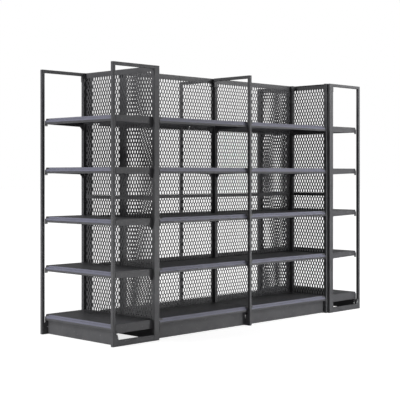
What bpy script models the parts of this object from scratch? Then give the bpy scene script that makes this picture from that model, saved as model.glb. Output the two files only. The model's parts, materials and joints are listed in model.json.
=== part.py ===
"""Gondola shelving unit in dark steel: a double-sided run of two bays, with an end cap at each end.

Metres, +Z up. X runs along the two bays, whose shelves face -Y and +Y, and the end caps face -X and +X.
The origin is on the floor, at the middle of the unit's footprint.

Each shelved side is built in one local frame, called a stand: x runs along the side, -y points out towards
the customer, y = 0 is the front face of the side's uprights, and z = 0 is the floor.
"""

import bmesh
import bpy
from math import radians
from mathutils import Matrix

# Driving dimensions.
HEIGHT = 2.0
BAY = 1.0  # between the centres of two uprights of the run
TUBE = 0.024  # square tube of the side frames
UPRIGHT_WIDTH = 0.028
UPRIGHT_DEPTH = 0.050
FRAME_DEPTH = 0.3955  # from an upright's face to the outer face of the frame's post
BASE_LEVEL = 0.152  # top of the base decks
LEVEL_PITCH = 0.3695  # from one shelf's top to the next
SHELVES_PER_SIDE = 4
GAP = 0.0003  # between pieces that touch
CLEAR = 0.002  # between the run and the end caps

# Sheet and tube details. LAP is how far joined shapes run into each other, so that they make one body.
LAP = 0.001
SHEET = 0.0012
BRACKET_SHEET = 0.003
LEG_WALL = 0.002
UPRIGHT_WALL = 0.002
SLOT_ROW_WIDTH = 0.006
SLOT_ROW_DEPTH = 0.0012
SLOT_ROW_MARGIN = 0.030
RAIL_HEIGHT = 0.043  # bottom rail of a side frame
FRAME_PLATE = 0.004  # end plates that carry a side frame on its upright
FRAME_PLATE_TOP_HEIGHT = 0.070
FRAME_PLATE_BOTTOM_HEIGHT = 0.080
FRAME_OFFSET = 0.017  # the run's side frames sit beside their upright's centre line
FRAME_PLATE_LAP = 0.001  # the run's end plates stop this far inside their upright's edge
GUSSET_TOP_LENGTH = 0.020
GUSSET_FOOT_LENGTH = 0.032
GUSSET_HEIGHT = 0.085
CORNER_POST = 0.0219
CORNER_POST_DEPTH = 0.026
CORNER_POST_INSET = 0.0228  # behind the outer side of the end cap

# Shelves, measured outwards from the uprights' face.
SHELF_BACK = 0.004
CAP_SHELF_CLEAR = 0.0013  # from a cap's tray to the inner face of the side frame, at each end
SIDE_FRONT = 0.349
NOSE_TOP = 0.358
NOSE_FRONT = 0.3695
NOSE_SLOPE = 0.030
NOSE_HEIGHT = 0.045
NOSE_RETURN = 0.0135
SHELF_SIDE = 0.040
BACK_FOLD = 0.030
RIB_DISTANCES = (0.12, 0.24)
RIB_WIDTH = 0.020
RIB_DEPTH = 0.014
RIB_INSET = 0.020
BRACKET_BACK_HEIGHT = 0.050
BRACKET_FRONT_HEIGHT = 0.043
HOOK_HEIGHT = 0.080
HOOK_LENGTH = 0.030
HOOK_TOE = 0.012
LUG_TOP = 0.030  # the front hook that holds a bracket to its post
LUG_BOTTOM = 0.058
LUG_BACK_BOTTOM = 0.042
LUG_TOE = 0.006
DECK_SIDE = 0.064
DECK_SIDE_FRONT = 0.340
DECK_LINER = 0.060  # the tray's own sides end inside its side plates
DECK_TONGUE = 0.0235  # the deck reaches this far in between the uprights
DECK_TONGUE_INSET = 0.0125
REAR_CUT = 0.100  # the rear bays' shelves and decks are this much less deep than the front ones
KICK_FRONT = 0.347
KICK_TOP = 0.1065
KICK_FLOOR_GAP = 0.003
KICK_CLEAR = 0.004  # a kick plate stops this far inside its deck's end
KICK_FOLD = 0.014
KICK_HEM = 0.012

# Back panels, measured inwards from the uprights' face.
MESH_FACE = 0.0243
MESH_BACK = 0.0251
MESH_RIM_BACK = 0.0355
MESH_RIM = 0.003
MESH_TOP_BAND = 0.040
MESH_BOTTOM = 0.100
JOINT_LEVEL = 1.033
JOINT_HEIGHT = 0.014
JOINT_LIP = 0.003
LOWER_BACK_FACE = 0.0345
LOWER_BACK_BACK = 0.0485
LOWER_BACK_TOP = 0.150
LOWER_BACK_FLOOR_GAP = 0.002

# Sizes that follow from those.
HALF_WIDTH = UPRIGHT_DEPTH / 2 + FRAME_DEPTH
CAP_FACE = BAY + UPRIGHT_WIDTH / 2 + CLEAR + GAP + UPRIGHT_DEPTH  # front of the end caps' uprights, along X
CAP_UPRIGHT = HALF_WIDTH - UPRIGHT_WIDTH / 2
CAP_FRAME = HALF_WIDTH - TUBE / 2
CAP_SHELF_WIDTH = 2 * (HALF_WIDTH - TUBE - CAP_SHELF_CLEAR)
RUN_SHELF_INNER = 0.006  # the shelves of the two bays stop this far from the middle
RUN_SHELF_OUTER = BAY - 0.009
RUN_SHELF_WIDTH = RUN_SHELF_OUTER - RUN_SHELF_INNER
RUN_SHELF_CENTRE = (RUN_SHELF_OUTER + RUN_SHELF_INNER) / 2
KICK_OUTER = BAY - 0.018
LEG_REACH = UPRIGHT_DEPTH / 2 + KICK_FRONT - LAP  # from the middle of the run to a leg's front end
LEG_INNER = BAY - UPRIGHT_WIDTH / 2
LEG_OUTER = BAY + 0.010
LEG_HEIGHT = GUSSET_HEIGHT
CORNER_POST_OUTER = HALF_WIDTH - CORNER_POST_INSET

COATING = {"colour": (0.085, 0.087, 0.092), "roughness": 0.48, "metallic": 0.35}
COLOURS = {
    "frame_steel": COATING,
    "shelf_steel": {"colour": (0.075, 0.077, 0.082), "roughness": 0.52, "metallic": 0.3},
    "mesh_steel": {"colour": (0.095, 0.097, 0.102), "roughness": 0.5, "metallic": 0.35},
    "base_steel": {"colour": (0.090, 0.092, 0.097), "roughness": 0.5, "metallic": 0.3},
}


def material(name):
    """One of the powder coatings, made the first time that it is asked for."""
    found = bpy.data.materials.get(name)
    if found:
        return found
    made = bpy.data.materials.new(name)
    made.use_nodes = True
    shader = made.node_tree.nodes["Principled BSDF"]
    look = COLOURS[name]
    shader.inputs["Base Color"].default_value = (*look["colour"], 1.0)
    shader.inputs["Roughness"].default_value = look["roughness"]
    shader.inputs["Metallic"].default_value = look["metallic"]
    return made


def block(x0, x1, y0, y1, z0, z1):
    """A rectangular bar or sheet."""
    return "x", [(y0, z0), (y1, z0), (y1, z1), (y0, z1)], x0, x1


def profile(outline, x0, x1):
    """An outline of (distance out from the uprights' face, height) points, swept along x."""
    return "x", [(-out, z) for out, z in outline], x0, x1


def section(outline, y0, y1):
    """An outline of (x, z) points, swept along y."""
    return "y", outline, y0, y1


def swept_point(axis, a, b, along):
    if axis == "x":
        return along, a, b
    return a, along, b


def mesh_of(name, shapes):
    """A mesh of closed prisms, which may overlap."""
    shell = bmesh.new()
    for axis, outline, low, high in shapes:
        rings = []
        for along in (low, high):
            rings.append([shell.verts.new(swept_point(axis, a, b, along)) for a, b in outline])
        shell.faces.new(rings[0])
        shell.faces.new(rings[1])
        for i in range(len(outline)):
            j = (i + 1) % len(outline)
            shell.faces.new((rings[0][i], rings[0][j], rings[1][j], rings[1][i]))
    bmesh.ops.recalc_face_normals(shell, faces=shell.faces)
    mesh = bpy.data.meshes.new(name)
    shell.to_mesh(mesh)
    shell.free()
    return mesh


def combined(operation, body, name, shapes):
    """The body's mesh with the shapes joined on or cut away."""
    tool = bpy.data.objects.new(name, mesh_of(name, shapes))
    tool.hide_render = True
    tool.display_type = "WIRE"
    bpy.context.collection.objects.link(tool)
    boolean = body.modifiers.new(name, "BOOLEAN")
    boolean.operation = operation
    boolean.solver = "EXACT"
    boolean.use_self = True
    boolean.object = tool
    bpy.context.view_layer.update()
    evaluated = body.evaluated_get(bpy.context.evaluated_depsgraph_get())
    mesh = bpy.data.meshes.new_from_object(evaluated)
    body.modifiers.remove(boolean)
    bpy.data.objects.remove(tool, do_unlink=True)
    return mesh


def solid_mesh(name, shapes, cuts=()):
    """One closed mesh: the overlapping shapes joined, then the cuts taken out."""
    body = bpy.data.objects.new(name, mesh_of(name, shapes[:1]))
    bpy.context.collection.objects.link(body)
    if len(shapes) > 1:
        body.data = combined("UNION", body, "joined_" + name, shapes[1:])
    if cuts:
        body.data = combined("DIFFERENCE", body, "cut_" + name, cuts)
    mesh = body.data
    mesh.name = name
    bpy.data.objects.remove(body, do_unlink=True)
    return mesh


def stand_matrix(x, y, degrees):
    """Carries a stand's local frame to its place."""
    return Matrix.Translation((x, y, 0.0)) @ Matrix.Rotation(radians(degrees), 4, "Z")


FRONT = stand_matrix(0.0, -UPRIGHT_DEPTH / 2, 0)
BACK = stand_matrix(0.0, UPRIGHT_DEPTH / 2, 180)
MIDDLE = Matrix.Identity(4)
LEFT_CAP = stand_matrix(-CAP_FACE, 0.0, -90)
RIGHT_CAP = stand_matrix(CAP_FACE, 0.0, 90)
CAPS = {"left_cap": LEFT_CAP, "right_cap": RIGHT_CAP}
CAP_SIDES = {
    "left_cap": {"near": 1, "far": -1},
    "right_cap": {"near": -1, "far": 1},
}


def place(name, mesh, coating, stand, x=0.0, z=0.0):
    """Puts a mesh in a stand as the named sub-part."""
    node = bpy.data.objects.new(name, mesh)
    bpy.context.collection.objects.link(node)
    node.matrix_world = stand @ Matrix.Translation((x, 0.0, z))
    if not mesh.materials:
        mesh.materials.append(material(coating))
    return node


def upright_shapes(x, foot):
    """A rectangular tube, and the cuts for its bore and for the slot rows down its front and its back."""
    half = UPRIGHT_WIDTH / 2
    inner = half - UPRIGHT_WALL
    row = SLOT_ROW_WIDTH / 2
    low = foot + SLOT_ROW_MARGIN
    high = HEIGHT - SLOT_ROW_MARGIN
    tube = block(x - half, x + half, 0.0, UPRIGHT_DEPTH, foot, HEIGHT)
    cuts = [
        block(x - inner, x + inner, UPRIGHT_WALL, UPRIGHT_DEPTH - UPRIGHT_WALL, foot - 0.01, HEIGHT + 0.01),
        block(x - row, x + row, -SLOT_ROW_DEPTH, SLOT_ROW_DEPTH, low, high),
        block(x - row, x + row, UPRIGHT_DEPTH - SLOT_ROW_DEPTH, UPRIGHT_DEPTH + SLOT_ROW_DEPTH, low, high),
    ]
    return tube, cuts


def run_upright_mesh(name, foot):
    tube, cuts = upright_shapes(0.0, foot)
    return solid_mesh(name, [tube], cuts)


def cap_upright_mesh():
    """An end cap's upright with the full-height closing post welded behind it."""
    tube, cuts = upright_shapes(CAP_UPRIGHT, 0.0)
    back = UPRIGHT_DEPTH + CORNER_POST
    wall = UPRIGHT_WALL
    outer = CORNER_POST_OUTER
    inner = CORNER_POST_OUTER - CORNER_POST_DEPTH
    post = block(inner, outer, UPRIGHT_DEPTH - LAP, back, 0.0, HEIGHT)
    cuts.append(block(inner + wall, outer - wall, UPRIGHT_DEPTH + wall, back - wall, -0.01, HEIGHT + 0.01))
    return solid_mesh("cap_upright", [tube, post], cuts)


def side_frame_mesh(name, plate_low, plate_high):
    """Post, top bar and bottom rail, with two end plates on the upright and a gusset at the post's foot."""
    half = TUBE / 2
    inside = GAP + FRAME_PLATE / 2
    post_back = FRAME_DEPTH - TUBE
    gusset = [
        (post_back + LAP, RAIL_HEIGHT / 2),
        (post_back + LAP, GUSSET_HEIGHT),
        (post_back - GUSSET_TOP_LENGTH, GUSSET_HEIGHT),
        (post_back - GUSSET_FOOT_LENGTH, RAIL_HEIGHT - LAP),
        (post_back - GUSSET_FOOT_LENGTH, RAIL_HEIGHT / 2),
    ]
    return solid_mesh(
        name,
        [
            block(-half, half, -FRAME_DEPTH, -post_back, 0.0, HEIGHT),
            block(-half, half, -FRAME_DEPTH + half, -inside, HEIGHT - TUBE, HEIGHT),
            block(-half, half, -FRAME_DEPTH + half, -inside, 0.0, RAIL_HEIGHT),
            block(plate_low, plate_high, -GAP - FRAME_PLATE, -GAP, HEIGHT - FRAME_PLATE_TOP_HEIGHT, HEIGHT),
            block(plate_low, plate_high, -GAP - FRAME_PLATE, -GAP, 0.0, FRAME_PLATE_BOTTOM_HEIGHT),
            profile(gusset, -half, half),
        ],
    )


def nose_outline(cut):
    """The shelf's front edge: a sloped ticket face over a short upright lip, folded from sheet."""
    outline = [
        (SIDE_FRONT, 0.0),
        (NOSE_TOP, 0.0),
        (NOSE_FRONT, -NOSE_SLOPE),
        (NOSE_FRONT, -NOSE_HEIGHT),
        (NOSE_FRONT - NOSE_RETURN, -NOSE_HEIGHT),
        (NOSE_FRONT - NOSE_RETURN, -NOSE_HEIGHT + SHEET),
        (NOSE_FRONT - SHEET, -NOSE_HEIGHT + SHEET),
        (NOSE_FRONT - SHEET, -NOSE_SLOPE),
        (NOSE_TOP - SHEET, -SHEET),
        (SIDE_FRONT, -SHEET),
    ]
    return [(out - cut, z) for out, z in outline]


def rib_outline(distance):
    """A channel under the top sheet, open at both of its ends."""
    near = distance
    far = distance + RIB_WIDTH
    top = -SHEET / 2
    return [
        (near, top),
        (near, -RIB_DEPTH),
        (far, -RIB_DEPTH),
        (far, top),
        (far - SHEET, top),
        (far - SHEET, SHEET - RIB_DEPTH),
        (near + SHEET, SHEET - RIB_DEPTH),
        (near + SHEET, top),
    ]


def tray_shapes(width, side_height, side_front, cut):
    """Top sheet, nose, sides, back fold and two ribs of a shelf or a deck, with its top at z = 0."""
    half = width / 2
    shapes = [
        block(-half, half, cut - SIDE_FRONT - LAP, -SHELF_BACK, -SHEET, 0.0),
        profile(nose_outline(cut), -half, half),
        block(-half, half, -SHELF_BACK - SHEET, -SHELF_BACK, -BACK_FOLD, -SHEET / 2),
    ]
    for side in (-1, 1):
        low, high = sorted((side * (half - SHEET), side * half))
        shapes.append(block(low, high, -side_front, -SHELF_BACK, -side_height, -SHEET / 2))
    for distance in RIB_DISTANCES:
        placed = distance * (SIDE_FRONT - cut) / SIDE_FRONT
        shapes.append(profile(rib_outline(placed), -half + RIB_INSET, half - RIB_INSET))
    return shapes


def mirrored_profile(outline, low, high):
    """The same swept outline at both ends of a shelf."""
    return [profile(outline, low, high), profile(outline, -high, -low)]


def shelf_mesh(name, width, cut):
    """A shelf with its side brackets, hooked into the uprights and, at full depth, the posts in front."""
    half = width / 2
    front = SIDE_FRONT - cut
    bracket = [
        (GAP, -SHEET),
        (GAP, -HOOK_HEIGHT),
        (HOOK_TOE, -HOOK_HEIGHT),
        (HOOK_LENGTH, -BRACKET_BACK_HEIGHT),
        (front, -BRACKET_FRONT_HEIGHT),
        (front, -SHEET),
    ]
    shapes = tray_shapes(width, SHELF_SIDE, front, cut)
    shapes += mirrored_profile(bracket, half - LAP, half - LAP + BRACKET_SHEET)
    if not cut:
        post_back = FRAME_DEPTH - TUBE - GAP
        lug = [
            (front - LAP, -LUG_TOP),
            (post_back, -LUG_TOP),
            (post_back, -LUG_BOTTOM),
            (post_back - LUG_TOE, -LUG_BOTTOM),
            (front - LAP, -LUG_BACK_BOTTOM),
        ]
        shapes += mirrored_profile(lug, half - BRACKET_SHEET, half)
    return solid_mesh(name, shapes)


def deck_mesh(name, width, cut):
    """A base deck: a deeper tray, which at full depth runs in between the uprights to meet the back panel."""
    half = width / 2
    front = SIDE_FRONT - cut
    step = DECK_SIDE_FRONT - cut
    side = [
        (GAP, -SHEET),
        (GAP, -DECK_SIDE),
        (step, -DECK_SIDE),
        (step, LAP - NOSE_HEIGHT),
        (front, LAP - NOSE_HEIGHT),
        (front, -SHEET),
    ]
    shapes = tray_shapes(width, DECK_LINER, step - LAP, cut)
    shapes += mirrored_profile(side, half - LAP, half - LAP + BRACKET_SHEET)
    if not cut:
        tongue = half - DECK_TONGUE_INSET
        shapes.append(block(-tongue, tongue, -SHELF_BACK - LAP, DECK_TONGUE, -SHEET, 0.0))
    return solid_mesh(name, shapes)


def kick_plate_mesh(name, low, high, cut=0.0):
    """The plate under a deck's front: upright face, top fold and bottom hem."""
    face = KICK_FRONT - cut
    outline = [
        (face, KICK_FLOOR_GAP),
        (face, KICK_TOP),
        (face - KICK_FOLD, KICK_TOP),
        (face - KICK_FOLD, KICK_TOP - SHEET),
        (face - SHEET, KICK_TOP - SHEET),
        (face - SHEET, KICK_FLOOR_GAP + SHEET),
        (face - KICK_HEM, KICK_FLOOR_GAP + SHEET),
        (face - KICK_HEM, KICK_FLOOR_GAP),
    ]
    return solid_mesh(name, [profile(outline, low, high)])


def mesh_panel_shapes(half, low, high):
    """The mesh plane of a back panel with its folded rim."""
    shapes = [
        block(-half, half, MESH_FACE, MESH_BACK, low, high),
        block(-half, half, MESH_FACE + GAP, MESH_RIM_BACK, low, low + MESH_RIM),
        block(-half, half, MESH_FACE + GAP, MESH_RIM_BACK, high - MESH_RIM, high),
    ]
    for side in (-1, 1):
        near, far = sorted((side * (half - MESH_RIM), side * half))
        shapes.append(block(near, far, MESH_FACE + GAP, MESH_RIM_BACK, low, high))
    return shapes


def upper_mesh_panel_mesh(name, width):
    """The upper panel with its solid top band and the H-section rail that holds it on the lower one."""
    half = width / 2
    low = JOINT_LEVEL - JOINT_HEIGHT / 2
    high = JOINT_LEVEL + JOINT_HEIGHT / 2
    lip_face = MESH_FACE - 2 * LAP - GAP
    shapes = mesh_panel_shapes(half, high, HEIGHT)
    shapes.append(block(-half, half, MESH_FACE - LAP, MESH_RIM_BACK, HEIGHT - MESH_TOP_BAND, HEIGHT))
    shapes.append(block(-half, half, MESH_FACE - 2 * LAP, MESH_RIM_BACK, low + GAP, high + LAP))
    shapes.append(block(-half, half, lip_face, MESH_FACE - LAP, low - JOINT_LIP, high + JOINT_LIP))
    return solid_mesh(name, shapes)


def lower_mesh_panel_mesh(name, width):
    """The lower panel, which has the closed foot panel riveted behind its bottom rim."""
    half = width / 2
    face = LOWER_BACK_FACE
    back = LOWER_BACK_BACK
    foot = LOWER_BACK_FLOOR_GAP
    shapes = mesh_panel_shapes(half, MESH_BOTTOM, JOINT_LEVEL - JOINT_HEIGHT / 2)
    shapes.append(block(-half, half, face, face + SHEET, foot, LOWER_BACK_TOP))
    shapes.append(block(-half, half, face, back, LOWER_BACK_TOP - SHEET, LOWER_BACK_TOP))
    shapes.append(block(-half, half, face, back, foot, foot + SHEET))
    return solid_mesh(name, shapes)


def base_leg_mesh():
    """C-section leg on the floor under an end upright of the run, from kick plate to kick plate."""
    low = LEG_INNER
    high = LEG_OUTER
    wall = LEG_WALL
    outline = [
        (low, 0.0),
        (high, 0.0),
        (high, wall),
        (low + wall, wall),
        (low + wall, LEG_HEIGHT - wall),
        (high, LEG_HEIGHT - wall),
        (high, LEG_HEIGHT),
        (low, LEG_HEIGHT),
    ]
    return solid_mesh("base_leg", [section(outline, -LEG_REACH, LEG_REACH - REAR_CUT)])


def mirrored_in_x(mesh, name):
    """A handed copy of a mesh."""
    copy = bmesh.new()
    copy.from_mesh(mesh)
    bmesh.ops.scale(copy, vec=(-1.0, 1.0, 1.0), verts=copy.verts)
    bmesh.ops.reverse_faces(copy, faces=copy.faces)
    made = bpy.data.meshes.new(name)
    copy.to_mesh(made)
    copy.free()
    return made


def make_uprights():
    """The run's end uprights stand on the base legs, and the others on the floor."""
    end = run_upright_mesh("end_upright", LEG_HEIGHT + GAP)
    place("run_upright_left", end, "frame_steel", FRONT, -BAY)
    place("run_upright_middle", run_upright_mesh("middle_upright", 0.0), "frame_steel", FRONT)
    place("run_upright_right", end, "frame_steel", FRONT, BAY)
    right = cap_upright_mesh()
    handed = {1: right, -1: mirrored_in_x(right, "cap_upright_mirrored")}
    for cap, stand in CAPS.items():
        for side, sign in CAP_SIDES[cap].items():
            place(f"{cap}_upright_{side}", handed[sign], "frame_steel", stand)


def make_side_frames():
    half = TUBE / 2
    run_frame = side_frame_mesh("run_side_frame", -half, FRAME_OFFSET + UPRIGHT_WIDTH / 2 - FRAME_PLATE_LAP)
    place("run_side_frame_front", run_frame, "frame_steel", FRONT, -FRAME_OFFSET)
    place("run_side_frame_back", run_frame, "frame_steel", BACK, -FRAME_OFFSET)
    cap_frame = side_frame_mesh("cap_side_frame", -half, half)
    for cap, stand in CAPS.items():
        for side, sign in CAP_SIDES[cap].items():
            place(f"{cap}_side_frame_{side}", cap_frame, "frame_steel", stand, sign * CAP_FRAME)


def make_base_legs():
    right = base_leg_mesh()
    left = mirrored_in_x(right, "base_leg_left")
    place("run_base_leg_right", right, "base_steel", MIDDLE)
    place("run_base_leg_left", left, "base_steel", MIDDLE)


def make_back(prefix, stand, width, x):
    lower = lower_mesh_panel_mesh(prefix + "_lower", width)
    upper = upper_mesh_panel_mesh(prefix + "_upper", width)
    place(f"{prefix}_mesh_panel_lower", lower, "mesh_steel", stand, x)
    place(f"{prefix}_mesh_panel_upper", upper, "mesh_steel", stand, x)


def make_backs():
    run_width = BAY - UPRIGHT_WIDTH - 2 * GAP
    make_back("left_bay", FRONT, run_width, -BAY / 2)
    make_back("right_bay", FRONT, run_width, BAY / 2)
    cap_width = 2 * (CAP_UPRIGHT - UPRIGHT_WIDTH / 2 - GAP)
    for cap, stand in CAPS.items():
        make_back(cap, stand, cap_width, 0.0)


def make_shelves():
    """The base deck and the shelves above it, on each of the six shelved sides."""
    front = shelf_mesh("front_shelf", RUN_SHELF_WIDTH, 0.0), deck_mesh("front_deck", RUN_SHELF_WIDTH, 0.0)
    rear_shelf = shelf_mesh("rear_shelf", RUN_SHELF_WIDTH, REAR_CUT)
    rear = rear_shelf, deck_mesh("rear_deck", RUN_SHELF_WIDTH, REAR_CUT)
    cap = shelf_mesh("cap_shelf", CAP_SHELF_WIDTH, 0.0), deck_mesh("cap_deck", CAP_SHELF_WIDTH, 0.0)
    sides = (
        ("left_bay", FRONT, -RUN_SHELF_CENTRE, front),
        ("right_bay", FRONT, RUN_SHELF_CENTRE, front),
        ("left_bay_rear", BACK, RUN_SHELF_CENTRE, rear),
        ("right_bay_rear", BACK, -RUN_SHELF_CENTRE, rear),
        ("left_cap", LEFT_CAP, 0.0, cap),
        ("right_cap", RIGHT_CAP, 0.0, cap),
    )
    for prefix, stand, x, (shelf, deck) in sides:
        place(f"{prefix}_base_deck", deck, "shelf_steel", stand, x, BASE_LEVEL)
        for number in range(1, SHELVES_PER_SIDE + 1):
            level = BASE_LEVEL + number * LEVEL_PITCH
            place(f"{prefix}_shelf_{number}", shelf, "shelf_steel", stand, x, level)


def make_kick_plates():
    """The run's plates on the side frame's side of the middle are a little shorter."""
    frame_face = FRAME_OFFSET + TUBE / 2 + GAP
    rows = ((FRONT, 0.0, "left_bay", "right_bay"), (BACK, REAR_CUT, "right_bay_rear", "left_bay_rear"))
    for stand, cut, short, long in rows:
        short_plate = kick_plate_mesh(short + "_kick", -KICK_OUTER, -frame_face, cut)
        long_plate = kick_plate_mesh(long + "_kick", RUN_SHELF_INNER + KICK_CLEAR, KICK_OUTER, cut)
        place(f"{short}_kick_plate", short_plate, "base_steel", stand)
        place(f"{long}_kick_plate", long_plate, "base_steel", stand)
    half = CAP_SHELF_WIDTH / 2 - KICK_CLEAR
    cap_kick = kick_plate_mesh("cap_kick", -half, half)
    for cap, stand in CAPS.items():
        place(f"{cap}_kick_plate", cap_kick, "base_steel", stand)


def clear_scene():
    for leftover in list(bpy.data.objects):
        bpy.data.objects.remove(leftover, do_unlink=True)


def main():
    clear_scene()
    make_uprights()
    make_side_frames()
    make_base_legs()
    make_backs()
    make_shelves()
    make_kick_plates()


main()
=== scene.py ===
"""Looks of the gondola shelving unit: slotted uprights, expanded mesh, folded shelves and ticket strips.

Metres, +Z up, in the frame of the CAD model. Shelved sides are built in a local frame, called a stand:
x runs along the side, "out" is the distance towards the customer from the uprights' face, and z is height.
"""

import bmesh
import bpy
import json
from math import cos, pi, radians, sin
from mathutils import Matrix, Vector


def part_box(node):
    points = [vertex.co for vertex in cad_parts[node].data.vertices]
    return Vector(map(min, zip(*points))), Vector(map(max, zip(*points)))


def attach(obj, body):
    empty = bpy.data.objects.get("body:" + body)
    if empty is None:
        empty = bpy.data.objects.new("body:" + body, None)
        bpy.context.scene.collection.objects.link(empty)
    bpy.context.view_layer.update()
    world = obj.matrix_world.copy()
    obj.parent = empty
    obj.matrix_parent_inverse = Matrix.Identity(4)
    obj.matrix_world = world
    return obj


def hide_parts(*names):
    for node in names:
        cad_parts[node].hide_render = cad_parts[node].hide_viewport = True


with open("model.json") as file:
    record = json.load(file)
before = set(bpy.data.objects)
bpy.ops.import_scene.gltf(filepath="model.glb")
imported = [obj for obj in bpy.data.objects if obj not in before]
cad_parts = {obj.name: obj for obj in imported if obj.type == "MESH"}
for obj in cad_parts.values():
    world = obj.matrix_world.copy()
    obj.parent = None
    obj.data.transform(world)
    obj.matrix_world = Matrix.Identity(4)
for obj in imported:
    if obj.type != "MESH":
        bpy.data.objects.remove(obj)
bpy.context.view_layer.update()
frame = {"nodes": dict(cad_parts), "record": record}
NODES = frame["nodes"]
SLOTS = {subpart["node"]: subpart["material_slot"] for subpart in frame["record"]["subparts"]}

# Sheet metal.
SHEET = 0.0012
BRACKET_SHEET = 0.003
BEND = 0.0022  # radius of a folded edge
ARC_STEPS = 4

# Uprights.
SLOT_PITCH = 0.025
SLOT_HALF_WIDTH = 0.0024
SLOT_HALF_HEIGHT = 0.0078
SLOT_MARGIN = 0.034
SIDE_HOLE_HALF = 0.0045
SIDE_HOLE_BELOW_TOP = 0.155
SIDE_HOLE_PITCH = 0.739
TUBE_WALL = 0.002
TUBE_RADIUS = 0.0025
CLOSING_POST_DEPTH = 0.026
PLUG_MARGIN = 0.0022
PLUG_HEIGHT = 0.006
PLUG_SUNK = 0.0006

# Expanded mesh.
CELL_HALF_WIDTH = 0.014
CELL_SHOULDER = 0.007
CELL_TIP = 0.0215
HOLE_HALF_WIDTH = 0.0072
HOLE_SHOULDER = 0.0080
HOLE_TIP = 0.0163
HOLE_CORNER = 0.003
STRAND = 0.0010
STRAND_TWIST = 0.0010
MESH_OUT = -0.0243
RIM_BACK = -0.0353
RIM_WIDTH = 0.006
TOP_BAND = 0.040
RAIL_HEIGHT = 0.014
RAIL_LIP = 0.003
MESH_BOTTOM = 0.100  # above the floor
FOOT_BOTTOM = 0.002
FOOT_TOP = 0.150
FOOT_RIVETS = 5
FOOT_FACE = -0.0345
FOOT_BACK = -0.0483

# Shelves and decks, out from the uprights' face and down from the top sheet.
SHELF_BACK = 0.004
NOSE_TOP = 0.358
NOSE_FRONT = 0.3695
NOSE_SLOPE = 0.030
NOSE_HEIGHT = 0.045
NOSE_RETURN = 0.0135
NOSE_HEM = 0.009
BACK_FOLD = 0.030
SIDE_FRONT = 0.349
SHELF_SIDE = 0.040
DECK_SIDE = 0.064
RIB_PLACES = (0.12, 0.24)
RIB_WIDTH = 0.020
RIB_DEPTH = 0.014
RIB_INSET = 0.020
RIB_SLANT = 0.002
RIB_LIP = 0.010
BRACKET_BACK = 0.0006
BRACKET_HEEL = ((0.012, -0.080), (0.020, -0.066), (0.034, -0.052))
BRACKET_PROUD = 0.002
HOOK_OUT = 0.0002
HOOK_BOTTOM = 0.079
HOOK_HEIGHT = 0.012
HOOK_TEETH = (0.006, 0.031, 0.056)
POST_BACK = 0.3712
LUG_TOP = 0.018
LUG_BOTTOM = 0.058
DECK_LUG_BOTTOM = 0.094
LUG_HOLE = 0.0032
NUT_RADIUS = 0.0042
NUT_HEIGHT = 0.0011
NUT_SUNK = 0.0012

# Bolts of the side frames.
FRAME_TUBE = 0.024
BOLT_LEVEL = 0.060
BOLT_INSET = 0.046
BOLT_RADIUS = 0.0055
BOLT_HEIGHT = 0.0035

# Ticket strip.
STRIP_PROUD = 0.0011
STRIP_TOP = 0.0016
STRIP_GROOVE = 0.0145
STRIP_GROOVE_WIDTH = 0.0012
STRIP_NOTCH = 0.037
STRIP_LIP = 0.0016
STRIP_STEP = 0.0004
STRIP_SUNK = 0.0005
STRIP_FOOT = 0.00005


def stand(x, y, degrees):
    return Matrix.Translation((x, y, 0.0)) @ Matrix.Rotation(radians(degrees), 4, "Z")


RUN_LOW, RUN_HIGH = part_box("run_upright_middle")
UPRIGHT_WIDTH = RUN_HIGH.x - RUN_LOW.x
UPRIGHT_DEPTH = RUN_HIGH.y - RUN_LOW.y
HEIGHT = RUN_HIGH.z
FRONT = stand(0.0, RUN_LOW.y, 0)
BACK = stand(0.0, RUN_HIGH.y, 180)
LEFT_CAP = stand(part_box("left_cap_upright_near")[0].x, 0.0, -90)
RIGHT_CAP = stand(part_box("right_cap_upright_near")[1].x, 0.0, 90)
SIDES = {
    "left_bay": FRONT,
    "right_bay": FRONT,
    "left_bay_rear": BACK,
    "right_bay_rear": BACK,
    "left_cap": LEFT_CAP,
    "right_cap": RIGHT_CAP,
}
BACKS = ("left_bay", "right_bay", "left_cap", "right_cap")


def local_box(node, matrix):
    """Lowest and highest corner of a CAD node in a stand's frame."""
    inverse = matrix.inverted()
    a, b = (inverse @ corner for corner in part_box(node))
    return Vector(map(min, a, b)), Vector(map(max, a, b))


# ---------------------------------------------------------------- materials


def socket(shader, name, value):
    shader.inputs[name].default_value = value


def blended_noise(nodes, links, scale, low, high, detail=4.0):
    """A noise in object space, spread from 0 to 1 between two of its levels."""
    coordinates = nodes.new("ShaderNodeTexCoord")
    noise = nodes.new("ShaderNodeTexNoise")
    noise.inputs["Scale"].default_value = scale
    noise.inputs["Detail"].default_value = detail
    links.new(coordinates.outputs["Object"], noise.inputs["Vector"])
    spread = nodes.new("ShaderNodeMapRange")
    spread.inputs["From Min"].default_value = low
    spread.inputs["From Max"].default_value = high
    links.new(noise.outputs["Fac"], spread.inputs["Value"])
    return spread.outputs["Result"]


def mixed_colour(nodes, links, factor, first, second):
    mix = nodes.new("ShaderNodeMix")
    mix.data_type = "RGBA"
    links.new(factor, mix.inputs[0])
    for place, value in ((6, first), (7, second)):
        if isinstance(value, tuple):
            mix.inputs[place].default_value = (*value, 1.0)
        else:
            links.new(value, mix.inputs[place])
    return mix.outputs[2]


def add_bump(nodes, links, shader, height, distance, strength):
    bump = nodes.new("ShaderNodeBump")
    bump.inputs["Distance"].default_value = distance
    bump.inputs["Strength"].default_value = strength
    links.new(height, bump.inputs["Height"])
    links.new(bump.outputs["Normal"], shader.inputs["Normal"])


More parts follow.
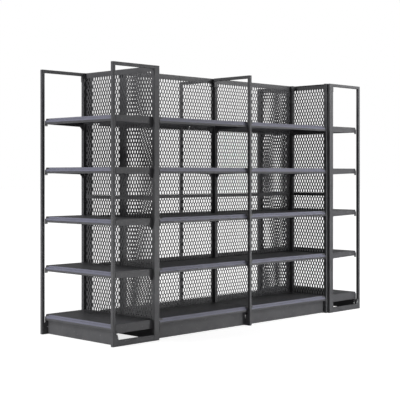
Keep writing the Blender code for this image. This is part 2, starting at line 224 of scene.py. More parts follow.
def powder_coat(name, colour, roughness=0.46, scuffs=0.0):
    """Matte powder coat: fine orange peel, faint mottling and, where scuffs is given, pale scuffs."""
    made = bpy.data.materials.new(name)
    made.use_nodes = True
    nodes, links = made.node_tree.nodes, made.node_tree.links
    shader = nodes["Principled BSDF"]
    socket(shader, "Metallic", 0.0)
    socket(shader, "Specular IOR Level", 0.42)
    light = tuple(channel * 1.12 for channel in colour)
    dark = tuple(channel * 0.90 for channel in colour)
    mottle = blended_noise(nodes, links, 9.0, 0.35, 0.65)
    base = mixed_colour(nodes, links, mottle, dark, light)
    if scuffs:
        marks = blended_noise(nodes, links, 46.0, 0.63, 0.74, 8.0)
        weaker = nodes.new("ShaderNodeMath")
        weaker.operation = "MULTIPLY"
        weaker.inputs[1].default_value = scuffs
        links.new(marks, weaker.inputs[0])
        base = mixed_colour(nodes, links, weaker.outputs[0], base, tuple(0.10 + 2 * c for c in colour))
    links.new(base, shader.inputs["Base Color"])
    gloss = nodes.new("ShaderNodeMapRange")
    gloss.inputs["To Min"].default_value = roughness - 0.05
    gloss.inputs["To Max"].default_value = roughness + 0.06
    links.new(blended_noise(nodes, links, 30.0, 0.3, 0.7), gloss.inputs["Value"])
    links.new(gloss.outputs["Result"], shader.inputs["Roughness"])
    add_bump(nodes, links, shader, blended_noise(nodes, links, 900.0, 0.2, 0.8, 2.0), 0.00012, 0.35)
    return made


def ticket_plastic():
    """Tinted PVC extrusion with faint lengthwise drawing lines."""
    made = bpy.data.materials.new("ticket_plastic")
    made.use_nodes = True
    nodes, links = made.node_tree.nodes, made.node_tree.links
    shader = nodes["Principled BSDF"]
    socket(shader, "Specular IOR Level", 0.3)
    mottle = blended_noise(nodes, links, 14.0, 0.3, 0.7)
    colour = mixed_colour(nodes, links, mottle, (0.168, 0.170, 0.225), (0.190, 0.192, 0.250))
    links.new(colour, shader.inputs["Base Color"])
    coordinates = nodes.new("ShaderNodeTexCoord")
    stretch = nodes.new("ShaderNodeMapping")
    stretch.inputs["Scale"].default_value = (2.0, 60.0, 900.0)
    lines = nodes.new("ShaderNodeTexNoise")
    lines.inputs["Scale"].default_value = 1.0
    links.new(coordinates.outputs["Object"], stretch.inputs["Vector"])
    links.new(stretch.outputs["Vector"], lines.inputs["Vector"])
    add_bump(nodes, links, shader, lines.outputs["Fac"], 0.0001, 0.2)
    gloss = nodes.new("ShaderNodeMapRange")
    gloss.inputs["To Min"].default_value = 0.42
    gloss.inputs["To Max"].default_value = 0.55
    links.new(lines.outputs["Fac"], gloss.inputs["Value"])
    links.new(gloss.outputs["Result"], shader.inputs["Roughness"])
    return made


def zinc():
    """Bright zinc plating, faintly speckled."""
    made = bpy.data.materials.new("zinc_bolt")
    made.use_nodes = True
    nodes, links = made.node_tree.nodes, made.node_tree.links
    shader = nodes["Principled BSDF"]
    socket(shader, "Metallic", 1.0)
    speckle = blended_noise(nodes, links, 400.0, 0.3, 0.7)
    colour = mixed_colour(nodes, links, speckle, (0.46, 0.47, 0.48), (0.62, 0.63, 0.64))
    links.new(colour, shader.inputs["Base Color"])
    gloss = nodes.new("ShaderNodeMapRange")
    gloss.inputs["To Min"].default_value = 0.28
    gloss.inputs["To Max"].default_value = 0.45
    links.new(speckle, gloss.inputs["Value"])
    links.new(gloss.outputs["Result"], shader.inputs["Roughness"])
    return made


FRAME_COAT = powder_coat("frame_coat", (0.088, 0.088, 0.094), scuffs=0.25)
SHELF_COAT = powder_coat("shelf_coat", (0.080, 0.080, 0.086))
MESH_COAT = powder_coat("mesh_coat", (0.082, 0.082, 0.088), 0.5)
BASE_COAT = powder_coat("base_coat", (0.088, 0.088, 0.094), 0.5, 0.35)
TICKET = ticket_plastic()
ZINC = zinc()
COATS = {
    "frame_steel": FRAME_COAT,
    "shelf_steel": SHELF_COAT,
    "mesh_steel": MESH_COAT,
    "base_steel": BASE_COAT,
}


# ---------------------------------------------------------------- outlines


def fillet(points, radius, steps=ARC_STEPS, closed=False):
    """The polyline with each bend rounded, as far as its two legs allow."""
    made = []
    count = len(points)
    for i, point in enumerate(points):
        if not closed and i in (0, count - 1):
            made.append(Vector(point))
            continue
        here = Vector(point)
        before = Vector(points[i - 1]) - here
        after = Vector(points[(i + 1) % count]) - here
        reach = min(radius, before.length * 0.45, after.length * 0.45)
        start = here + before.normalized() * reach
        end = here + after.normalized() * reach
        for step in range(steps + 1):
            t = step / steps
            made.append(start.lerp(here, t).lerp(here.lerp(end, t), t))
    return made


def ribbon(path, thickness):
    """A closed outline: the open path and, on its right-hand side, the same path one sheet away."""
    inner = []
    for i, point in enumerate(path):
        before = (point - path[i - 1]).normalized() if i else None
        after = (path[i + 1] - point).normalized() if i + 1 < len(path) else None
        direction = (before or after) + (after or before)
        direction.normalize()
        normal = Vector((direction.y, -direction.x))
        reach = thickness / max(0.5, direction.dot(after or before))
        inner.append(point + normal * reach)
    return list(path) + inner[::-1]


class Shell:
    """A mesh that grows by swept outlines, perforated strips and turned heads, in a stand's frame."""

    def __init__(self):
        self.bm = bmesh.new()

    def vertex(self, x, out, z):
        return self.bm.verts.new((x, -out, z))

    def face(self, corners):
        return self.bm.faces.new(corners)

    def prism(self, outline, low, high, place):
        """Sweeps a closed outline from low to high; place turns (a, b, along) into (x, out, z)."""
        rings = [[self.vertex(*place(a, b, along)) for a, b in outline] for along in (low, high)]
        self.face(rings[0])
        self.face(rings[1][::-1])
        for i in range(len(outline)):
            j = (i + 1) % len(outline)
            self.face((rings[0][j], rings[0][i], rings[1][i], rings[1][j]))

    def along_x(self, outline, low, high):
        """An outline of (out, z) points."""
        self.prism(outline, low, high, lambda a, b, along: (along, a, b))

    def along_z(self, outline, low, high):
        """An outline of (x, out) points."""
        self.prism(outline, low, high, lambda a, b, along: (a, b, along))

    def plate(self, x0, x1, out0, out1, z0, z1):
        """A rectangular block."""
        self.along_z([(x0, out0), (x1, out0), (x1, out1), (x0, out1)], z0, z1)

    def tile(self, place, outer, hole, thickness, both=True):
        """A piece of sheet with a hole in it, whose points are shared out between the sheet's corners.

        With both, the sheet has a back face too. Place turns a point's (u, v, depth) into (x, out, z).
        """
        sides = len(outer)
        share = len(hole) // sides
        depths = (0.0, thickness) if both else (0.0,)
        rings = []
        for depth in depths:
            corners = [self.vertex(*place(u, v, depth + d)) for u, v, d in outer]
            rim = [self.vertex(*place(u, v, depth + d)) for u, v, d in hole]
            rings.append(rim)
            flip = -1 if depth else 1
            for i in range(sides):
                for j in range(share - 1):
                    k = i * share + j
                    self.face((corners[i], rim[k], rim[k + 1])[::flip])
                last = rim[i * share + share - 1]
                first = rim[((i + 1) * share) % len(rim)]
                self.face((corners[i], last, first, corners[(i + 1) % sides])[::flip])
        if not both:
            rings.append([self.vertex(*place(u, v, thickness + d)) for u, v, d in hole])
        for i in range(len(hole)):
            j = (i + 1) % len(hole)
            self.face((rings[0][j], rings[0][i], rings[1][i], rings[1][j]))

    def strip(self, place, u0, u1, v0, v1, holes, thickness):
        """A strip of sheet from v0 to v1, perforated at the given (v, half width, half height, roundness)."""
        middle = (u0 + u1) / 2
        edges = [v0]
        for (a, *_), (b, *_) in zip(holes, holes[1:]):
            edges.append((a + b) / 2)
        edges.append(v1)
        for (v, wide, high, corner), low, top in zip(holes, edges, edges[1:]):
            outer = [(u0, low, 0.0), (u1, low, 0.0), (u1, top, 0.0), (u0, top, 0.0)]
            rectangle = [(-wide, -high), (wide, -high), (wide, high), (-wide, high)]
            ring = fillet(rectangle, corner, 2, closed=True)
            hole = [(middle + p.x, v + p.y, 0.0) for p in ring]
            self.tile(place, outer, hole, thickness, both=False)

    def head(self, centre, axis, radius, height, sides=24):
        """A domed bolt head: rings of falling radius along the axis, in (x, out, z)."""
        axis = Vector(axis).normalized()
        across = axis.orthogonal().normalized()
        other = axis.cross(across)
        rings = []
        for share, rise in ((1.0, 0.0), (1.0, 0.35), (0.86, 0.72), (0.55, 0.94), (0.30, 1.0)):
            ring = []
            for i in range(sides):
                turn = 2 * pi * i / sides
                point = Vector(centre) + axis * height * rise
                point += (across * cos(turn) + other * sin(turn)) * radius * share
                ring.append(self.vertex(*point))
            rings.append(ring)
        for low, high in zip(rings, rings[1:]):
            for i in range(sides):
                j = (i + 1) % sides
                self.face((low[i], low[j], high[j], high[i]))
        self.face(rings[-1])
        self.face(rings[0][::-1])

    def mesh(self, name):
        """The finished mesh, smooth but for its sharp edges; the shell is used up."""
        bmesh.ops.remove_doubles(self.bm, verts=self.bm.verts, dist=0.00002)
        bmesh.ops.recalc_face_normals(self.bm, faces=self.bm.faces)
        made = bpy.data.meshes.new(name)
        self.bm.to_mesh(made)
        self.bm.free()
        made.shade_smooth()
        made.set_sharp_from_angle(angle=radians(32))
        return made


def piece(name, mesh, material, body, matrix, x=0.0, z=0.0, replaces=()):
    """One named piece of the object, in place and riding on its body."""
    if not mesh.materials:
        mesh.materials.append(material)
    made = bpy.data.objects.new(name, mesh)
    bpy.context.scene.collection.objects.link(made)
    made.matrix_world = matrix @ Matrix.Translation((x, 0.0, z))
    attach(made, body)
    if replaces:
        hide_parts(*replaces)
    return made


def add_bevel(obj, width, segments):
    bevel = obj.modifiers.new("edges", "BEVEL")
    bevel.width = width
    bevel.segments = segments
    bevel.limit_method = "ANGLE"
    bevel.angle_limit = radians(40)
    bevel.harden_normals = False


# ---------------------------------------------------------------- uprights


def slot_holes(low, high):
    """The row of slots between two levels, as strip() takes them, counted down from the top."""
    count = int((high - low - 2 * SLOT_MARGIN) / SLOT_PITCH)
    first = high - SLOT_MARGIN - count * SLOT_PITCH
    return [(first + i * SLOT_PITCH, SLOT_HALF_WIDTH, SLOT_HALF_HEIGHT, 0.0012) for i in range(count + 1)]


def side_holes(high):
    """The three square holes in the side of an end cap's upright."""
    places = [high - SIDE_HOLE_BELOW_TOP - i * SIDE_HOLE_PITCH for i in range(3)]
    return [(z, SIDE_HOLE_HALF, SIDE_HOLE_HALF, 0.001) for z in sorted(places)]


def add_tube(shell, x0, x1, out0, out1, low, high, slotted):
    """A tube with round corners; slotted names the faces that have slots: front (out1) and back (out0)."""
    wall = TUBE_WALL
    corners = ((x1, out1), (x0, out1), (x0, out0), (x1, out0))
    rounded = fillet(corners, TUBE_RADIUS, ARC_STEPS, closed=True)
    inner_corners = (
        (x1 - wall, out1 - wall),
        (x0 + wall, out1 - wall),
        (x0 + wall, out0 + wall),
        (x1 - wall, out0 + wall),
    )
    inner = fillet(inner_corners, TUBE_RADIUS / 2, ARC_STEPS, closed=True)
    count = len(rounded)
    per = ARC_STEPS + 1
    outer_rings = [[shell.vertex(a, b, z) for a, b in rounded] for z in (low, high)]
    inner_rings = [[shell.vertex(a, b, z) for a, b in inner] for z in (low, high)]
    faces = {per - 1: "front", 2 * per - 1: "side", 3 * per - 1: "back", 4 * per - 1: "side"}
    for i in range(count):
        j = (i + 1) % count
        shell.face((inner_rings[0][i], inner_rings[0][j], inner_rings[1][j], inner_rings[1][i]))
        for end, flip in ((0, 1), (1, -1)):
            ring = (outer_rings[end][i], outer_rings[end][j], inner_rings[end][j], inner_rings[end][i])
            shell.face(ring[::flip])
        if faces.get(i) not in slotted:
            shell.face((outer_rings[0][j], outer_rings[0][i], outer_rings[1][i], outer_rings[1][j]))
            continue
        a, b = rounded[i], rounded[j]
        normal = Vector(((b - a).y, -(b - a).x)).normalized()
        if normal.dot(Vector(((x0 + x1) / 2, (out0 + out1) / 2)) - a) < 0:
            normal = -normal
        direction = (b - a).normalized()

        def on_face(u, v, depth, a=a, direction=direction, normal=normal):
            point = a + direction * u + normal * depth
            return point.x, point.y, v

        holes = side_holes(high) if faces[i] == "side" else slot_holes(low, high)
        shell.strip(on_face, 0.0, (b - a).length, low, high, holes, wall)


def end_cover(shell, x0, x1, out0, out1, z):
    """Plastic plug in the open top of a tube."""
    x0, x1 = x0 + PLUG_MARGIN, x1 - PLUG_MARGIN
    out0, out1 = out0 + PLUG_MARGIN, out1 - PLUG_MARGIN
    outline = [(x0, out0), (x1, out0), (x1, out1), (x0, out1)]
    shell.along_z(fillet(outline, TUBE_WALL, ARC_STEPS, closed=True), z - PLUG_HEIGHT, z - PLUG_SUNK)


def make_uprights():
    """The run's three uprights, and the end caps' four with the closing post that is welded to each."""
    for name in ("run_upright_left", "run_upright_middle", "run_upright_right"):
        low, high = local_box(name, FRONT)
        shell = Shell()
        half = UPRIGHT_WIDTH / 2
        add_tube(shell, -half, half, -UPRIGHT_DEPTH, 0.0, low.z, HEIGHT, ("front", "back"))
        end_cover(shell, -half, half, -UPRIGHT_DEPTH, 0.0, HEIGHT)
        centre = (low.x + high.x) / 2
        tube = shell.mesh(name + "_tube")
        piece(name + "_tube", tube, FRAME_COAT, "structure", FRONT, centre, 0.0, [name])
    for cap in ("left_cap", "right_cap"):
        for side in ("near", "far"):
            name = f"{cap}_upright_{side}"
            matrix = SIDES[cap]
            low, high = local_box(name, matrix)
            shell = Shell()
            if high.x > 0:
                x0, x1, inner0, inner1 = high.x - UPRIGHT_WIDTH, high.x, low.x, low.x + CLOSING_POST_DEPTH
            else:
                x0, x1, inner0, inner1 = low.x, low.x + UPRIGHT_WIDTH, high.x - CLOSING_POST_DEPTH, high.x
            add_tube(shell, x0, x1, -UPRIGHT_DEPTH, 0.0, 0.0, HEIGHT, ("front", "side"))
            end_cover(shell, x0, x1, -UPRIGHT_DEPTH, 0.0, HEIGHT)
            add_tube(shell, inner0, inner1, -high.y, -UPRIGHT_DEPTH, 0.0, HEIGHT, ())
            end_cover(shell, inner0, inner1, -high.y, -UPRIGHT_DEPTH, HEIGHT)
            tube = shell.mesh(name + "_tube")
            piece(name + "_tube", tube, FRAME_COAT, "structure", matrix, 0.0, 0.0, [name])


# ---------------------------------------------------------------- mesh backs


def hexagon(half_width, shoulder, tip):
    """An upright hexagon with its points above and below."""
    return [
        (0.0, -tip),
        (half_width, -shoulder),
        (half_width, shoulder),
        (0.0, tip),
        (-half_width, shoulder),
        (-half_width, -shoulder),
    ]


def expanded_mesh(name, width, height):
    """Expanded steel: staggered hexagons between slanted strands, cut to size about the origin."""
    shell = Shell()
    corners = [(u, v, 0.0) for u, v in hexagon(CELL_HALF_WIDTH, CELL_SHOULDER, CELL_TIP)]
    rounded = fillet(hexagon(HOLE_HALF_WIDTH, HOLE_SHOULDER, HOLE_TIP), HOLE_CORNER, 1, closed=True)
    hole = [(p.x, p.y, -STRAND_TWIST * p.x / HOLE_HALF_WIDTH) for p in rounded]
    row_pitch = CELL_SHOULDER + CELL_TIP
    rows = int(height / 2 / row_pitch) + 2
    columns = int(width / 2 / CELL_HALF_WIDTH) + 2
    for row in range(-rows, rows + 1):
        for column in range(-columns, columns + 1):
            if (column + row) % 2:
                continue
            u, v = column * CELL_HALF_WIDTH, row * row_pitch
            if abs(u) > width / 2 + CELL_HALF_WIDTH or abs(v) > height / 2 + CELL_TIP:
                continue
            shell.tile(lambda a, b, d, u=u, v=v: (a + u, -d, b + v), corners, hole, STRAND)
    for axis, limit in ((0, width / 2), (2, height / 2)):
        for sign in (-1, 1):
            point, normal = Vector(), Vector()
            point[axis] = sign * limit
            normal[axis] = sign
            geometry = shell.bm.verts[:] + shell.bm.edges[:] + shell.bm.faces[:]
            bmesh.ops.bisect_plane(
                shell.bm, geom=geometry, plane_co=point, plane_no=normal, clear_outer=True, clear_inner=False
            )
    return shell.mesh(name)


def folded_frame(name, width, low, high, top_band, rail, foot):
    """Rim of a mesh panel, folded back all round, with its top band, joint rail or closed foot sheet."""
    shell = Shell()
    half = width / 2
    face = MESH_OUT + STRAND_TWIST + 0.0003
    for side in (-1, 1):
        path = [(side * (half - RIM_WIDTH), face), (side * half, face), (side * half, RIM_BACK)]
        shell.along_z(ribbon(fillet(path, BEND), side * SHEET), low, high)
    for edge, way in ((low, -1), (high, 1)):
        inner = edge - way * (TOP_BAND if top_band and way == 1 else RIM_WIDTH)
        path = [(face, inner), (face, edge), (RIM_BACK, edge)]
        shell.along_x(ribbon(fillet(path, BEND), -way * SHEET), -half, half)
    if rail:
        front = face + 0.0018
        bottom, top = low - RAIL_HEIGHT - RAIL_LIP, low + RAIL_LIP
        outline = [(front, bottom), (front, top), (RIM_BACK, top), (RIM_BACK, bottom)]
        shell.along_x(fillet(outline, 0.0016, ARC_STEPS, closed=True), -half, half)
    if foot:
        path = [
            (FOOT_BACK, FOOT_TOP - 0.012),
            (FOOT_BACK, FOOT_TOP),
            (FOOT_FACE, FOOT_TOP),
            (FOOT_FACE, FOOT_BOTTOM),
            (FOOT_BACK, FOOT_BOTTOM),
        ]
        shell.along_x(ribbon(fillet(path, BEND), SHEET), -half, half)
        for i in range(FOOT_RIVETS):
            x = -half + width * (i + 0.5) / FOOT_RIVETS
            shell.head((x, FOOT_BACK + 0.0005, FOOT_TOP - 0.006), (0, -1, 0), 0.004, 0.0016, 16)
    return shell.mesh(name)


def make_backs():
    """The mesh panels of the bays and the end caps; panels of one size share their meshes."""
    meshes = {}
    for side in BACKS:
        matrix = SIDES[side]
        for level, top_band in (("upper", True), ("lower", False)):
            node = f"{side}_mesh_panel_{level}"
            low, high = local_box(node, matrix)
            width = high.x - low.x
            foot = level == "lower"
            bottom = MESH_BOTTOM if foot else low.z + RAIL_HEIGHT + RAIL_LIP
            top = high.z
            kind = f"{level}_{round(width * 1000)}"
            if kind not in meshes:
                lattice = expanded_mesh("mesh_" + kind, width - RIM_WIDTH, top - bottom - RIM_WIDTH)
                rim = folded_frame("rim_" + kind, width - 0.0006, bottom, top, top_band, not foot, foot)
                meshes[kind] = lattice, rim
            lattice, rim = meshes[kind]
            x = (low.x + high.x) / 2
            name = f"{side}_expanded_mesh_{level}"
            middle = (bottom + top) / 2
            made = piece(name, lattice, MESH_COAT, "structure", matrix, x, middle, [node])
            made.matrix_basis = made.matrix_basis @ Matrix.Translation((0.0, -MESH_OUT, 0.0))
            piece(f"{side}_panel_frame_{level}", rim, FRAME_COAT, "structure", matrix, x)


# ---------------------------------------------------------------- shelves


def tray_path(cut):
    """A tray in section, from the back fold over the top and round the nose to its hem."""
    return [
        (SHELF_BACK, -BACK_FOLD),
        (SHELF_BACK, 0.0),
        (NOSE_TOP - cut, 0.0),
        (NOSE_FRONT - cut, -NOSE_SLOPE),
        (NOSE_FRONT - cut, -NOSE_HEIGHT),
        (NOSE_FRONT - cut - NOSE_RETURN, -NOSE_HEIGHT),
        (NOSE_FRONT - cut - NOSE_RETURN, -NOSE_HEIGHT + NOSE_HEM),
    ]


def tray_mesh(name, half, cut, side_height, tongue):
    """A tray with its side walls and stiffening ribs, and a tongue that runs in between a deck's uprights."""
    shell = Shell()
    front = SIDE_FRONT - cut
    shell.along_x(ribbon(fillet(tray_path(cut), BEND), SHEET), -half, half)
    for side in (-1, 1):
        x0, x1 = sorted((side * half, side * (half - SHEET)))
        back = SHELF_BACK + SHEET
        outline = [(back, -SHEET), (back, -side_height), (front, -side_height), (front, -SHEET)]
        shell.along_x(outline, x0, x1)
    for place in RIB_PLACES:
        near = place * front / SIDE_FRONT
        path = [
            (near - RIB_LIP, -SHEET),
            (near, -SHEET),
            (near + RIB_SLANT, -RIB_DEPTH),
            (near + RIB_WIDTH - RIB_SLANT, -RIB_DEPTH),
            (near + RIB_WIDTH, -SHEET),
            (near + RIB_WIDTH + RIB_LIP, -SHEET),
        ]
        shell.along_x(ribbon(fillet(path, BEND), SHEET), -half + RIB_INSET, half - RIB_INSET)
    if tongue:
        x = half - 0.0125
        shell.plate(-x, x, -tongue, SHELF_BACK + SHEET, -SHEET, -0.0001)
    return shell.mesh(name)


def hooked_outline(front):
    """A bracket seen from its side, with three hooks at the back edge that end at the upright's face."""
    outline = [(0.0, -SHEET)]
    for tooth in HOOK_TEETH:
        outline += [
            (BRACKET_BACK, -tooth),
            (HOOK_OUT, -tooth - 0.001),
            (HOOK_OUT, -tooth - HOOK_HEIGHT + 0.001),
            (BRACKET_BACK, -tooth - HOOK_HEIGHT),
        ]
    outline += [(BRACKET_BACK, -HOOK_BOTTOM), *BRACKET_HEEL]
    outline += [(front - 0.012, -0.0435), (front, -0.0425), (front, -SHEET)]
    return outline


def add_lug(shell, inner, outer, low, side):
    """The plate that hooks a tray's end to its post, with a hole below the nose."""
    start = SIDE_FRONT - 0.001
    below = -NOSE_HEIGHT - 0.0008
    plate = [(start, -LUG_TOP), (POST_BACK, -LUG_TOP), (POST_BACK, below), (start, below)]
    shell.along_x(plate, *sorted((inner, outer)))
    centre_out = (SIDE_FRONT + POST_BACK) / 2 + 0.001
    centre_z = (below + low) / 2
    ring = []
    for i in range(16):
        turn = 2 * pi * (i - 1.5) / 16 + 1.25 * pi
        ring.append((centre_out + LUG_HOLE * cos(turn), centre_z + LUG_HOLE * sin(turn), 0.0))
    corners = [(start, low, 0.0), (POST_BACK, low, 0.0), (POST_BACK, below, 0.0), (start, below, 0.0)]
    shell.tile(lambda u, v, d: (inner + side * d, u, v), corners, ring, BRACKET_SHEET)


def bracket_mesh(name, half, cut):
    """Both side brackets of a shelf, with their front lugs where they reach the posts."""
    shell = Shell()
    front = SIDE_FRONT - cut
    for side in (-1, 1):
        x0, x1 = sorted((side * (half - 0.0002), side * (half + BRACKET_PROUD)))
        shell.along_x(fillet(hooked_outline(front), 0.0012, 2, closed=True), x0, x1)
        if not cut:
            add_lug(shell, side * (half - BRACKET_SHEET), side * half, -LUG_BOTTOM, side)
        face = side * (half + BRACKET_SHEET - NUT_SUNK)
        nuts = (
            (front - 0.024, -0.026, NUT_RADIUS),
            (0.060, -0.024, NUT_RADIUS),
            (front * 0.55, -0.024, 0.0036),
        )
        for out, z, radius in nuts:
            shell.head((face, out, z), (side, 0, 0), radius, NUT_HEIGHT, 18)
    return shell.mesh(name)


def deck_side_mesh(name, half, cut):
    """Both side plates of a base deck, with the step behind the nose and the lugs at the posts."""
    shell = Shell()
    front = SIDE_FRONT - cut
    step = front - 0.009
    under = -NOSE_HEIGHT + 0.001
    lug_back = step - 0.0005
    lug_bottom = -DECK_LUG_BOTTOM
    for side in (-1, 1):
        x0, x1 = sorted((side * (half - 0.0002), side * (half + BRACKET_PROUD)))
        outline = [
            (BRACKET_BACK, -SHEET),
            (BRACKET_BACK, -DECK_SIDE),
            (step, -DECK_SIDE),
            (step, under),
            (front, under),
            (front, -SHEET),
        ]
        shell.along_x(fillet(outline, 0.0012, 2, closed=True), x0, x1)
        if not cut:
            lug = [
                (lug_back, lug_bottom),
                (POST_BACK, lug_bottom),
                (POST_BACK, -LUG_TOP),
                (lug_back, -LUG_TOP),
            ]
            inner = side * (half - BRACKET_SHEET)
            shell.along_x(lug, *sorted((inner, side * half)))
            bolt = (inner, (lug_back + POST_BACK) / 2, lug_bottom + 0.010)
            shell.head(bolt, (-side, 0, 0), 0.004, 0.0012, 16)
        for out in (0.040, front - 0.039):
            nut = (side * (half + BRACKET_SHEET - NUT_SUNK), out, -0.030)
            shell.head(nut, (side, 0, 0), NUT_RADIUS, NUT_HEIGHT, 18)
    return shell.mesh(name)


def strip_mesh(name, half, cut):
    """Ticket strip on the sloped nose: two channels with a groove between, and the upper one cut short."""
    shell = Shell()
    top = Vector((NOSE_TOP - cut, 0.0))
    bottom = Vector((NOSE_FRONT - cut, -NOSE_SLOPE))
    along = (bottom - top).normalized()
    outward = Vector((-along.y, along.x))
    length = (bottom - top).length

    def at(distance, proud):
        return top + along * distance + outward * proud

    def channel(start, end, x):
        outline = [
            at(start, STRIP_FOOT),
            at(start, STRIP_PROUD),
            at(start + STRIP_LIP, STRIP_PROUD),
            at(start + STRIP_LIP + STRIP_STEP, STRIP_PROUD - STRIP_SUNK),
            at(end - STRIP_LIP - STRIP_STEP, STRIP_PROUD - STRIP_SUNK),
            at(end - STRIP_LIP, STRIP_PROUD),
            at(end, STRIP_PROUD),
            at(end, STRIP_FOOT),
        ]
        shell.along_x(fillet(outline, 0.0003, 2, closed=True), -x, x)

    groove = STRIP_GROOVE_WIDTH / 2
    channel(STRIP_TOP, STRIP_GROOVE - groove, half - STRIP_NOTCH)
    channel(STRIP_GROOVE + groove, length - 0.0012, half - 0.0006)
    return shell.mesh(name)


def make_shelves():
    """Every side's deck and four shelves: tray, brackets or side plates, and ticket strip."""
    meshes = {}
    for side, matrix in SIDES.items():
        for number in range(5):
            node = f"{side}_shelf_{number}" if number else f"{side}_base_deck"
            low, high = local_box(node, matrix)
            half = (high.x - low.x) / 2 - 0.002
            cut = round(max(0.0, NOSE_FRONT + low.y), 3)
            kind = f"{'shelf' if number else 'deck'}_{round(half * 1000)}_{round(-low.y * 1000)}"
            if kind not in meshes:
                if number:
                    tray = tray_mesh("tray_" + kind, half, cut, SHELF_SIDE, 0.0)
                    sides = bracket_mesh("brackets_" + kind, half, cut)
                else:
                    tray = tray_mesh("tray_" + kind, half, cut, DECK_SIDE - 0.004, max(0.0, high.y))
                    sides = deck_side_mesh("side_plates_" + kind, half, cut)
                meshes[kind] = tray, sides, strip_mesh("strip_" + kind, half, cut)
            tray, brackets, strip = meshes[kind]
            x = (low.x + high.x) / 2
            ends = node + ("_brackets" if number else "_side_plates")
            piece(node + "_tray", tray, SHELF_COAT, node, matrix, x, high.z, [node])
            piece(ends, brackets, FRAME_COAT, node, matrix, x, high.z)
            piece(node + "_ticket_strip", strip, TICKET, node, matrix, x, high.z)


# ---------------------------------------------------------------- carried-over steel


def refine_frames():
    """The side frames, legs and kick plates keep their CAD shape, with their edges broken."""
    for name, node in NODES.items():
        if node.hide_render:
            continue
        node.data.materials.clear()
        node.data.materials.append(COATS[SLOTS[name]])
        weld = node.modifiers.new("weld", "WELD")
        weld.merge_threshold = 0.00005
        flat = node.modifiers.new("flat", "DECIMATE")
        flat.decimate_type = "DISSOLVE"
        flat.angle_limit = radians(1)
        tube = "side_frame" in name
        add_bevel(node, 0.0022 if tube else 0.0004, 3 if tube else 2)


def make_fasteners():
    """Bolt heads near the foot of every side frame, on both of its faces."""
    for name in sorted(NODES):
        if "side_frame" not in name:
            continue
        matrix = BACK if name == "run_side_frame_back" else FRONT
        for cap in ("left_cap", "right_cap"):
            if name.startswith(cap):
                matrix = SIDES[cap]
        low, high = local_box(name, matrix)
        shell = Shell()
        far_side = low.x + FRAME_TUBE if name.startswith("run") else high.x
        for x, way in ((low.x, -1), (far_side, 1)):
            shell.head((x, -low.y - BOLT_INSET, BOLT_LEVEL), (way, 0, 0), BOLT_RADIUS, BOLT_HEIGHT)
        piece(name + "_bolts", shell.mesh(name + "_bolts"), ZINC, "structure", matrix)


make_uprights()
make_backs()
make_shelves()
refine_frames()
make_fasteners()


# ---------------------------------------------------------------- stage


def seen_or_not(nodes, links, strength, seen, elsewhere):
    """One strength where the stage is looked at, and another for the light that it gives the object."""
    path = nodes.new("ShaderNodeLightPath")
    choice = nodes.new("ShaderNodeMapRange")
    choice.inputs["To Min"].default_value = elsewhere
    choice.inputs["To Max"].default_value = seen
    links.new(path.outputs["Is Camera Ray"], choice.inputs["Value"])
    links.new(choice.outputs["Result"], strength)
    return choice


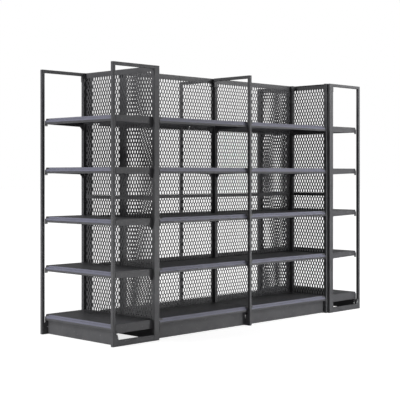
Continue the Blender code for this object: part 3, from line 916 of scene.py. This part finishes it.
def make_stage():
    """A pale floor that glows white for the camera, with painted shade: its glow is lowered near the object
    and rises to white away from it; and a white world.
    """
    floor_mesh = bpy.data.meshes.new("floor")
    reach = 60.0
    corners = [(-reach, -reach, 0), (reach, -reach, 0), (reach, reach, 0), (-reach, reach, 0)]
    floor_mesh.from_pydata(corners, [], [(0, 1, 2, 3)])
    floor = bpy.data.objects.new("floor", floor_mesh)
    bpy.context.scene.collection.objects.link(floor)
    floor.location.z = -0.0005
    paint = bpy.data.materials.new("floor_paint")
    paint.use_nodes = True
    nodes, links = paint.node_tree.nodes, paint.node_tree.links
    shader = nodes["Principled BSDF"]
    socket(shader, "Base Color", (0.5, 0.5, 0.5, 1.0))
    socket(shader, "Roughness", 0.9)
    socket(shader, "Specular IOR Level", 0.1)
    socket(shader, "Emission Color", (1.0, 1.0, 1.0, 1.0))
    choice = seen_or_not(nodes, links, shader.inputs["Emission Strength"], 0.80, 0.06)
    coordinates = nodes.new("ShaderNodeTexCoord")
    distance = nodes.new("ShaderNodeVectorMath")
    distance.operation = "LENGTH"
    links.new(coordinates.outputs["Object"], distance.inputs[0])
    # Painted shadow round the object: the floor's glow for the camera is 0.80 within 1.5 m of the object's
    # origin and rises to 0.97 at 4 m.
    painted_floor_shade = nodes.new("ShaderNodeMapRange")
    painted_floor_shade.inputs["From Min"].default_value = 1.5
    painted_floor_shade.inputs["From Max"].default_value = 4.0
    painted_floor_shade.inputs["To Min"].default_value = 0.80
    painted_floor_shade.inputs["To Max"].default_value = 0.97
    links.new(distance.outputs["Value"], painted_floor_shade.inputs["Value"])
    links.new(painted_floor_shade.outputs["Result"], choice.inputs["To Max"])
    floor_mesh.materials.append(paint)
    world = bpy.data.worlds.new("studio")
    world.use_nodes = True
    background = world.node_tree.nodes["Background"]
    background.inputs["Color"].default_value = (1.0, 1.0, 1.0, 1.0)
    seen_or_not(world.node_tree.nodes, world.node_tree.links, background.inputs["Strength"], 1.0, 0.20)
    bpy.context.scene.world = world


def area_light(name, location, target, size, power):
    data = bpy.data.lights.new(name, "AREA")
    data.shape = "DISK"
    data.size = size
    data.energy = power
    light = bpy.data.objects.new(name, data)
    bpy.context.scene.collection.objects.link(light)
    light.location = location
    light.rotation_mode = "QUATERNION"
    light.rotation_quaternion = (Vector(target) - Vector(location)).to_track_quat("-Z", "Y")


def make_camera():
    data = bpy.data.cameras.new("camera")
    data.lens = 91.51
    data.shift_y = -0.064
    data.clip_end = 200.0
    camera = bpy.data.objects.new("camera", data)
    bpy.context.scene.collection.objects.link(camera)
    camera.location = (-6.0914, -5.8315, 1.2083)
    camera.rotation_euler = (radians(90), 0.0, radians(-45.447))
    bpy.context.scene.camera = camera


LIGHTS = (  # name, place, aim, diameter, watts
    ("key", (2.4, -2.8, 3.4), (0.5, -0.2, 0.6), 1.2, 52),
    ("low_fill", (1.4, -2.5, 0.35), (0.0, -0.4, 0.1), 0.9, 23),
    ("right_fill", (3.2, -2.4, 2.4), (0.8, -0.4, 1.0), 1.2, 10),
    ("far_fill", (7.5, -3.5, 2.5), (0.5, 0.0, 1.0), 3.0, 57),
    ("left_fill", (-5.0, 2.0, 5.0), (-1.2, 0.0, 1.0), 2.5, 184),
    ("low_left_fill", (-3.6, 1.0, 0.4), (-1.4, 0.0, 0.2), 0.9, 23),
)

make_stage()
for light in LIGHTS:
    area_light(*light)
make_camera()
bpy.context.scene.view_settings.view_transform = "Standard"
